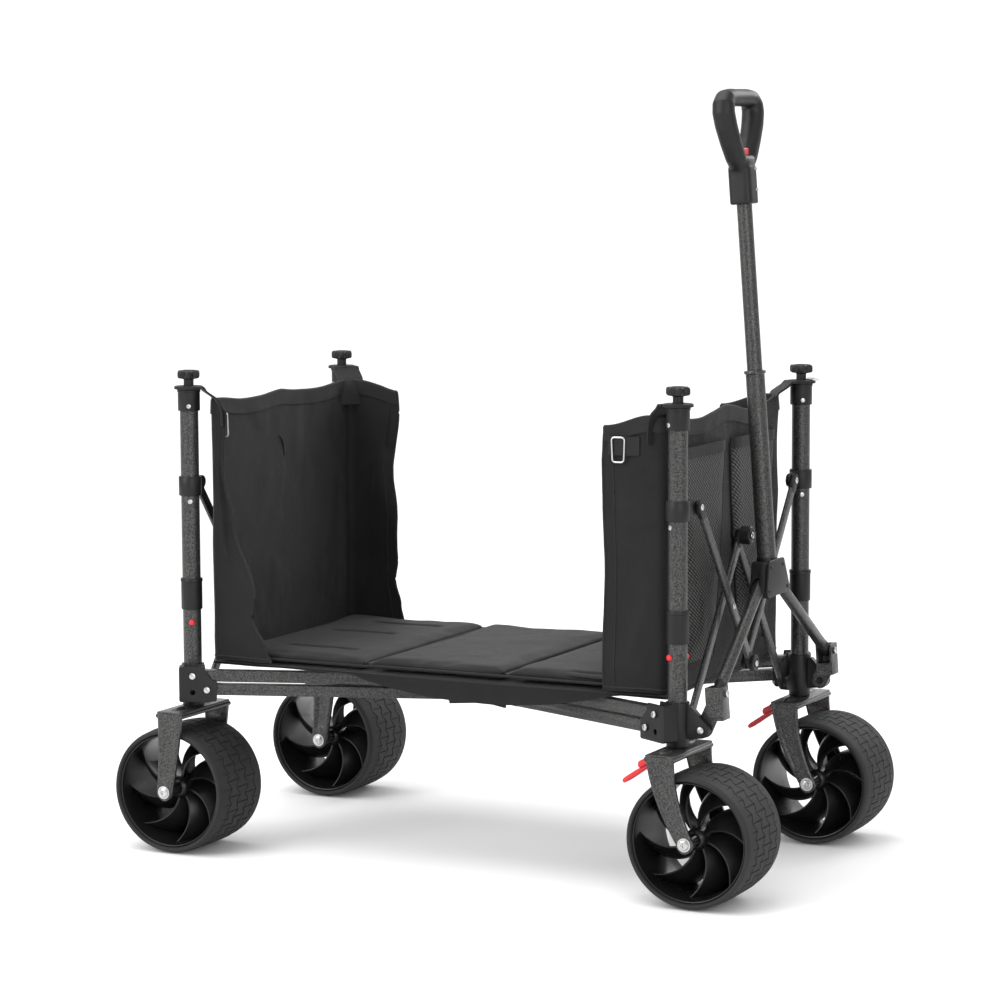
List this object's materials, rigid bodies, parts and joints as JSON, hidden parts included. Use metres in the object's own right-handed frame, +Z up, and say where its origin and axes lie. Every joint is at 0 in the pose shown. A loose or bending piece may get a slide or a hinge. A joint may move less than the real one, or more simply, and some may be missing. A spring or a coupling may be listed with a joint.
{
  "type": "folding wagon with pull handle",
  "caption": "Folding utility wagon: steel scissor frame on wide wheels, fabric end walls, padded floor mat and telescopic pull handle.",
  "frame": {"origin": "on the floor, under the middle of the wheels' footprint", "axes": "+X toward the pull handle, +Y to the wagon's left side, +Z up"},
  "size_m": [0.978, 0.5842, 1.072],
  "materials": {
    "hammered_steel": "hammertone semi-gloss",
    "black_plastic": "satin",
    "rim_plastic": "semi-gloss",
    "tyre_foam": "matte",
    "red_plastic": "gloss",
    "black_fabric": "woven",
    "mat_fabric": "padded weave"
  },
  "bodies": {
    "corner_rear_right": {"post_rear_right": "hammered_steel", "corner_bracket_rear_right": "black_plastic", "fork_rear_right": "hammered_steel", "bag_rear_wall": "black_fabric"},
    "wheel_rear_right": {"tyre_rear_right": "tyre_foam", "rim_rear_right": "rim_plastic"},
    "knob_rear_right": {"knob_rear_right": "black_plastic"},
    "collar_rear_right": {"sliding_collar_rear_right": "black_plastic"},
    "upper_bar_rear_right": {"upper_bar_rear_right": "hammered_steel"},
    "lower_bar_rear_right": {"lower_bar_rear_right": "hammered_steel"},
    "corner_rear_left": {"post_rear_left": "hammered_steel", "corner_bracket_rear_left": "black_plastic", "fork_rear_left": "hammered_steel"},
    "wheel_rear_left": {"tyre_rear_left": "tyre_foam", "rim_rear_left": "rim_plastic"},
    "knob_rear_left": {"knob_rear_left": "black_plastic"},
    "collar_rear_left": {"sliding_collar_rear_left": "black_plastic"},
    "upper_bar_rear_left": {"upper_bar_rear_left": "hammered_steel"},
    "lower_bar_rear_left": {"lower_bar_rear_left": "hammered_steel"},
    "corner_front_right": {"post_front_right": "hammered_steel", "corner_bracket_front_right": "black_plastic", "bag_front_wall": "black_fabric"},
    "wheel_front_right": {"tyre_front_right": "tyre_foam", "rim_front_right": "rim_plastic"},
    "knob_front_right": {"knob_front_right": "black_plastic"},
    "collar_front_right": {"sliding_collar_front_right": "black_plastic"},
    "upper_bar_front_right": {"upper_bar_front_right": "hammered_steel"},
    "lower_bar_front_right": {"lower_bar_front_right": "hammered_steel"},
    "caster_front_right": {"fork_front_right": "hammered_steel"},
    "brake_front_right": {"brake_lever_front_right": "red_plastic"},
    "corner_front_left": {"post_front_left": "hammered_steel", "corner_bracket_front_left": "black_plastic"},
    "wheel_front_left": {"tyre_front_left": "tyre_foam", "rim_front_left": "rim_plastic"},
    "knob_front_left": {"knob_front_left": "black_plastic"},
    "collar_front_left": {"sliding_collar_front_left": "black_plastic"},
    "upper_bar_front_left": {"upper_bar_front_left": "hammered_steel"},
    "lower_bar_front_left": {"lower_bar_front_left": "hammered_steel"},
    "caster_front_left": {"fork_front_left": "hammered_steel"},
    "brake_front_left": {"brake_lever_front_left": "red_plastic"},
    "hub": {"centre_hub": "black_plastic", "bag_floor": "black_fabric"},
    "mat": {"floor_mat": "mat_fabric"},
    "rear_link_right_high": {"rear_link_right_high": "hammered_steel"},
    "rear_link_right_low": {"rear_link_right_low": "hammered_steel"},
    "rear_link_left_high": {"rear_link_left_high": "hammered_steel"},
    "rear_link_left_low": {"rear_link_left_low": "hammered_steel"},
    "front_link_right_high": {"front_link_right_high": "hammered_steel"},
    "front_link_right_low": {"front_link_right_low": "hammered_steel"},
    "front_link_left_high": {"front_link_left_high": "hammered_steel"},
    "front_link_left_low": {"front_link_left_low": "hammered_steel"},
    "clevis_right": {"handle_clevis_right": "hammered_steel"},
    "strut_right": {"handle_strut_right": "hammered_steel"},
    "clevis_left": {"handle_clevis_left": "hammered_steel"},
    "strut_left": {"handle_strut_left": "hammered_steel"},
    "pole": {"handle_yoke": "hammered_steel"},
    "handle_slider": {"handle_inner_tube": "hammered_steel", "handle_grip": "black_plastic"},
    "trigger": {"grip_trigger": "red_plastic"}
  },
  "joints": [
    {"name": "fold", "type": "hinge", "parent": "corner_rear_right", "child": "upper_bar_rear_right", "pos_m": [-0.37635, -0.24156, 0.253], "axis": [0.506, -0.8625, 0], "range_deg": [0, 70], "deforming": ["bag_rear_wall", "bag_front_wall", "bag_floor", "floor_mat"]},
    {"name": "hub_level", "type": "hinge", "parent": "upper_bar_rear_right", "child": "hub", "pos_m": [-0.0531, -0.05192, 0.24], "axis": [0.506, -0.8625, 0], "range_deg": [-70, 0]},
    {"name": "lower_bar_rear_right_pivot", "type": "hinge", "parent": "corner_rear_right", "child": "lower_bar_rear_right", "pos_m": [-0.3591, -0.23144, 0.233], "axis": [0.506, -0.8625, 0], "range_deg": [0, 70]},
    {"name": "upper_bar_rear_left_pivot", "type": "hinge", "parent": "hub", "child": "upper_bar_rear_left", "pos_m": [-0.0531, 0.05192, 0.24], "axis": [-0.506, -0.8625, 0], "range_deg": [0, 70]},
    {"name": "lower_bar_rear_left_pivot", "type": "hinge", "parent": "hub", "child": "lower_bar_rear_left", "pos_m": [-0.03585, 0.0418, 0.22], "axis": [-0.506, -0.8625, 0], "range_deg": [0, 70]},
    {"name": "corner_rear_left_level", "type": "hinge", "parent": "upper_bar_rear_left", "child": "corner_rear_left", "pos_m": [-0.37635, 0.24156, 0.253], "axis": [-0.506, -0.8625, 0], "range_deg": [-70, 0]},
    {"name": "upper_bar_front_right_pivot", "type": "hinge", "parent": "hub", "child": "upper_bar_front_right", "pos_m": [0.0251, -0.05192, 0.24], "axis": [0.506, 0.8625, 0], "range_deg": [0, 70]},
    {"name": "lower_bar_front_right_pivot", "type": "hinge", "parent": "hub", "child": "lower_bar_front_right", "pos_m": [0.00785, -0.0418, 0.22], "axis": [0.506, 0.8625, 0], "range_deg": [0, 70]},
    {"name": "corner_front_right_level", "type": "hinge", "parent": "upper_bar_front_right", "child": "corner_front_right", "pos_m": [0.34835, -0.24156, 0.253], "axis": [0.506, 0.8625, 0], "range_deg": [-70, 0]},
    {"name": "upper_bar_front_left_pivot", "type": "hinge", "parent": "hub", "child": "upper_bar_front_left", "pos_m": [0.0251, 0.05192, 0.24], "axis": [-0.506, 0.8625, 0], "range_deg": [0, 70]},
    {"name": "lower_bar_front_left_pivot", "type": "hinge", "parent": "hub", "child": "lower_bar_front_left", "pos_m": [0.00785, 0.0418, 0.22], "axis": [-0.506, 0.8625, 0], "range_deg": [0, 70]},
    {"name": "corner_front_left_level", "type": "hinge", "parent": "upper_bar_front_left", "child": "corner_front_left", "pos_m": [0.34835, 0.24156, 0.253], "axis": [-0.506, 0.8625, 0], "range_deg": [-70, 0]},
    {"name": "rear_link_right_high_pivot", "type": "hinge", "parent": "collar_rear_right", "child": "rear_link_right_high", "pos_m": [-0.403, -0.18, 0.521], "axis": [-1, 0, 0], "range_deg": [0, 25.48]},
    {"name": "rear_link_right_low_pivot", "type": "hinge", "parent": "corner_rear_right", "child": "rear_link_right_low", "pos_m": [-0.387, -0.18, 0.228], "axis": [1, 0, 0], "range_deg": [0, 25.48]},
    {"name": "rear_link_left_high_pivot", "type": "hinge", "parent": "collar_rear_left", "child": "rear_link_left_high", "pos_m": [-0.395, 0.18, 0.521], "axis": [1, 0, 0], "range_deg": [0, 25.48]},
    {"name": "rear_link_left_low_pivot", "type": "hinge", "parent": "corner_rear_left", "child": "rear_link_left_low", "pos_m": [-0.379, 0.18, 0.228], "axis": [-1, 0, 0], "range_deg": [0, 25.48]},
    {"name": "front_link_right_high_pivot", "type": "hinge", "parent": "collar_front_right", "child": "front_link_right_high", "pos_m": [0.375, -0.18, 0.521], "axis": [-1, 0, 0], "range_deg": [0, 25.48]},
    {"name": "front_link_right_low_pivot", "type": "hinge", "parent": "corner_front_right", "child": "front_link_right_low", "pos_m": [0.359, -0.18, 0.228], "axis": [1, 0, 0], "range_deg": [0, 25.48]},
    {"name": "front_link_left_high_pivot", "type": "hinge", "parent": "collar_front_left", "child": "front_link_left_high", "pos_m": [0.367, 0.18, 0.521], "axis": [1, 0, 0], "range_deg": [0, 25.48]},
    {"name": "front_link_left_low_pivot", "type": "hinge", "parent": "corner_front_left", "child": "front_link_left_low", "pos_m": [0.351, 0.18, 0.228], "axis": [-1, 0, 0], "range_deg": [0, 25.48]},
    {"name": "collar_rear_right_slide", "type": "slide", "parent": "corner_rear_right", "child": "collar_rear_right", "axis": [0, 0, 1], "range_m": [0, 0.06804]},
    {"name": "collar_rear_left_slide", "type": "slide", "parent": "corner_rear_left", "child": "collar_rear_left", "axis": [0, 0, 1], "range_m": [0, 0.06804]},
    {"name": "collar_front_right_slide", "type": "slide", "parent": "corner_front_right", "child": "collar_front_right", "axis": [0, 0, 1], "range_m": [0, 0.06804]},
    {"name": "collar_front_left_slide", "type": "slide", "parent": "corner_front_left", "child": "collar_front_left", "axis": [0, 0, 1], "range_m": [0, 0.06804]},
    {"name": "wheel_rear_right_spin", "type": "hinge", "parent": "corner_rear_right", "child": "wheel_rear_right", "pos_m": [-0.399, -0.22, 0.09], "axis": [0, 1, 0], "continuous": true},
    {"name": "knob_rear_right_turn", "type": "hinge", "parent": "corner_rear_right", "child": "knob_rear_right", "pos_m": [-0.389, -0.22, 0.67], "axis": [0, 0, 1], "range_deg": [0, 180]},
    {"name": "wheel_rear_left_spin", "type": "hinge", "parent": "corner_rear_left", "child": "wheel_rear_left", "pos_m": [-0.399, 0.22, 0.09], "axis": [0, 1, 0], "continuous": true},
    {"name": "knob_rear_left_turn", "type": "hinge", "parent": "corner_rear_left", "child": "knob_rear_left", "pos_m": [-0.389, 0.22, 0.67], "axis": [0, 0, 1], "range_deg": [0, 180]},
    {"name": "caster_front_right_swivel", "type": "hinge", "parent": "corner_front_right", "child": "caster_front_right", "pos_m": [0.361, -0.22, 0.206], "axis": [0, 0, 1], "continuous": true},
    {"name": "brake_front_right_press", "type": "hinge", "parent": "caster_front_right", "child": "brake_front_right", "pos_m": [0.345, -0.22, 0.191], "axis": [0, -1, 0], "range_deg": [0, 18]},
    {"name": "wheel_front_right_spin", "type": "hinge", "parent": "caster_front_right", "child": "wheel_front_right", "pos_m": [0.399, -0.22, 0.09], "axis": [0, 1, 0], "continuous": true},
    {"name": "knob_front_right_turn", "type": "hinge", "parent": "corner_front_right", "child": "knob_front_right", "pos_m": [0.361, -0.22, 0.67], "axis": [0, 0, 1], "range_deg": [0, 180]},
    {"name": "caster_front_left_swivel", "type": "hinge", "parent": "corner_front_left", "child": "caster_front_left", "pos_m": [0.361, 0.22, 0.206], "axis": [0, 0, 1], "continuous": true},
    {"name": "brake_front_left_press", "type": "hinge", "parent": "caster_front_left", "child": "brake_front_left", "pos_m": [0.345, 0.22, 0.191], "axis": [0, -1, 0], "range_deg": [0, 18]},
    {"name": "wheel_front_left_spin", "type": "hinge", "parent": "caster_front_left", "child": "wheel_front_left", "pos_m": [0.399, 0.22, 0.09], "axis": [0, 1, 0], "continuous": true},
    {"name": "knob_front_left_turn", "type": "hinge", "parent": "corner_front_left", "child": "knob_front_left", "pos_m": [0.361, 0.22, 0.67], "axis": [0, 0, 1], "range_deg": [0, 180]},
    {"name": "mat_lift", "type": "slide", "parent": "hub", "child": "mat", "axis": [0, 0, 1], "range_m": [0, 0.4]},
    {"name": "handle_swing", "type": "hinge", "parent": "corner_front_right", "child": "clevis_right", "pos_m": [0.396, -0.2115, 0.231], "axis": [0, 1, 0], "range_deg": [0, 95]},
    {"name": "clevis_left_swing", "type": "hinge", "parent": "corner_front_left", "child": "clevis_left", "pos_m": [0.396, 0.2115, 0.231], "axis": [0, 1, 0], "range_deg": [0, 95]},
    {"name": "strut_right_pivot", "type": "hinge", "parent": "clevis_right", "child": "strut_right", "pos_m": [0.40926, -0.2, 0.27688], "axis": [0.9974, 0, 0.0725], "range_deg": [0, 38.16]},
    {"name": "pole_right_pivot", "type": "hinge", "parent": "strut_right", "child": "pole", "pos_m": [0.39985, -0.02, 0.40624], "axis": [0.9974, 0, 0.0725], "range_deg": [-38.16, 0]},
    {"name": "strut_left_pivot", "type": "hinge", "parent": "pole", "child": "strut_left", "pos_m": [0.39985, 0.02, 0.40624], "axis": [-0.9974, 0, -0.0725], "range_deg": [0, 38.16]},
    {"name": "handle_telescope", "type": "slide", "parent": "pole", "child": "handle_slider", "axis": [-0.0725, 0, 0.9974], "range_m": [-0.22, 0]},
    {"name": "trigger_press", "type": "slide", "parent": "handle_slider", "child": "trigger", "axis": [-0.0725, 0, 0.9974], "range_m": [-0.006, 0], "stiffness_N_per_m": 400}
  ],
  "couplings": [
    {"joint": "hub_level", "follows": "fold", "ratio": -1},
    {"joint": "lower_bar_rear_right_pivot", "follows": "fold", "ratio": 1},
    {"joint": "upper_bar_rear_left_pivot", "follows": "fold", "ratio": 1},
    {"joint": "lower_bar_rear_left_pivot", "follows": "fold", "ratio": 1},
    {"joint": "corner_rear_left_level", "follows": "fold", "ratio": -1},
    {"joint": "upper_bar_front_right_pivot", "follows": "fold", "ratio": 1},
    {"joint": "lower_bar_front_right_pivot", "follows": "fold", "ratio": 1},
    {"joint": "corner_front_right_level", "follows": "fold", "ratio": -1},
    {"joint": "upper_bar_front_left_pivot", "follows": "fold", "ratio": 1},
    {"joint": "lower_bar_front_left_pivot", "follows": "fold", "ratio": 1},
    {"joint": "corner_front_left_level", "follows": "fold", "ratio": -1},
    {"joint": "rear_link_right_high_pivot", "follows": "fold", "ratio": 0.36398},
    {"joint": "rear_link_right_low_pivot", "follows": "fold", "ratio": 0.36398},
    {"joint": "rear_link_left_high_pivot", "follows": "fold", "ratio": 0.36398},
    {"joint": "rear_link_left_low_pivot", "follows": "fold", "ratio": 0.36398},
    {"joint": "front_link_right_high_pivot", "follows": "fold", "ratio": 0.36398},
    {"joint": "front_link_right_low_pivot", "follows": "fold", "ratio": 0.36398},
    {"joint": "front_link_left_high_pivot", "follows": "fold", "ratio": 0.36398},
    {"joint": "front_link_left_low_pivot", "follows": "fold", "ratio": 0.36398},
    {"joint": "collar_rear_right_slide", "follows": "fold", "m_per_rad": 0.055695},
    {"joint": "collar_rear_left_slide", "follows": "fold", "m_per_rad": 0.055695},
    {"joint": "collar_front_right_slide", "follows": "fold", "m_per_rad": 0.055695},
    {"joint": "collar_front_left_slide", "follows": "fold", "m_per_rad": 0.055695},
    {"joint": "clevis_left_swing", "follows": "handle_swing", "ratio": 1},
    {"joint": "strut_right_pivot", "follows": "fold", "ratio": 0.54512},
    {"joint": "pole_right_pivot", "follows": "fold", "ratio": -0.54512},
    {"joint": "strut_left_pivot", "follows": "fold", "ratio": 0.54512}
  ]
}
